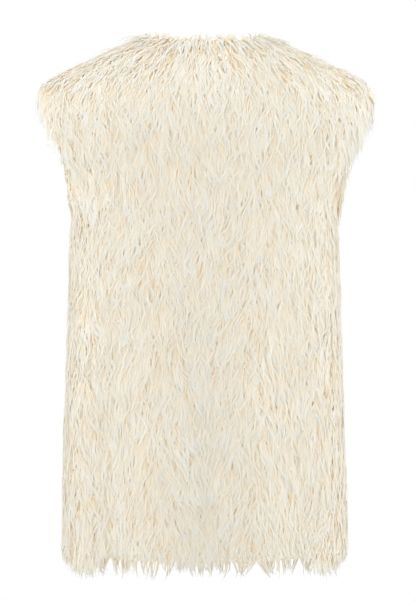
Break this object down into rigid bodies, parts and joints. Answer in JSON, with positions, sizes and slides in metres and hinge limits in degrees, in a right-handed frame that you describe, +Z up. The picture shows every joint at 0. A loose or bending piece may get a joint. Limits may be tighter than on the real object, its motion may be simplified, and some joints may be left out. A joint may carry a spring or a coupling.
{
  "type": "shaggy vest",
  "caption": "Sleeveless hip-length vest of shaggy cream pile, hollow as worn, with open neck, armholes and hem edged in hanging locks.",
  "frame": {"origin": "on the shoulder line, midway between the two points where the shoulder seams meet the neck edge, on the inside of the cloth, where the vest hangs from the shoulders", "axes": "+Z up, +Y towards the wearer's front, +X towards the wearer's right; the back, which the picture shows, faces -Y"},
  "size_m": [0.4584, 0.2853, 0.7437],
  "materials": {
    "cream_pile": "matte long pile in pointed locks, cream"
  },
  "bodies": {
    "root": {"back": "cream_pile", "front_left": "cream_pile", "front_right": "cream_pile", "hem_fringe_back": "cream_pile", "hem_fringe_left": "cream_pile", "hem_fringe_right": "cream_pile", "neck_fringe_back": "cream_pile", "neck_fringe_left": "cream_pile", "neck_fringe_right": "cream_pile", "armhole_fringe_left": "cream_pile", "armhole_fringe_right": "cream_pile"}
  },
  "joints": []
}
